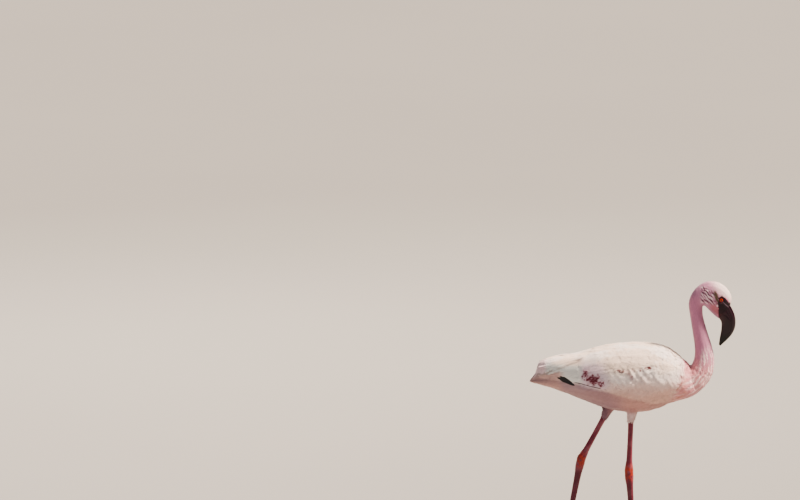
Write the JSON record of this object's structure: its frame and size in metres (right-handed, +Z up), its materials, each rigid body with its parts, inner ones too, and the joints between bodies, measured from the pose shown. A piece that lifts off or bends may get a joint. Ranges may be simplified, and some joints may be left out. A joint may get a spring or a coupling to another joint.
{
  "type": "lesser flamingo, still life-size model",
  "caption": "Lesser flamingo in mid-stride, head bowed: long S-curved neck, bent dark bill, folded pinkish wings with carmine patches, and long red legs on webbed feet.",
  "frame": {"origin": "on the floor, under the middle of the bird's bounding box", "axes": "+X the way the bird faces, +Y its left side, +Z up"},
  "size_m": [0.463, 0.1528, 0.6281],
  "materials": {
    "plumage": "soft matt feathers, white to pale pink, deeper pink on neck and breast, carmine in the wing",
    "flight_feather": "satin black vane",
    "leg_skin": "satin scaled skin, deep pink-red",
    "face_skin": "bare dark maroon skin",
    "bill_horn": "polished horn, dark maroon, black at the tip",
    "claw_horn": "satin dark horn",
    "eye": "wet orange-red iris with a black pupil"
  },
  "bodies": {
    "root": {"tail": "plumage", "trunk": "plumage", "neck_lower": "plumage", "neck_middle": "plumage", "neck_upper": "plumage", "head": "plumage", "wing_left": "plumage", "wing_right": "plumage", "eye_left": "eye", "eye_right": "eye", "bill_upper": "bill_horn", "bill_lower": "bill_horn", "thigh_right": "plumage", "shank_right": "leg_skin", "tarsus_right": "leg_skin", "foot_right": "leg_skin", "claw_inner_right": "claw_horn", "claw_middle_right": "claw_horn", "claw_outer_right": "claw_horn", "claw_hind_right": "claw_horn", "thigh_left": "plumage", "shank_left": "leg_skin", "tarsus_left": "leg_skin", "foot_left": "leg_skin", "claw_inner_left": "claw_horn", "claw_middle_left": "claw_horn", "claw_outer_left": "claw_horn", "claw_hind_left": "claw_horn"}
  },
  "joints": []
}
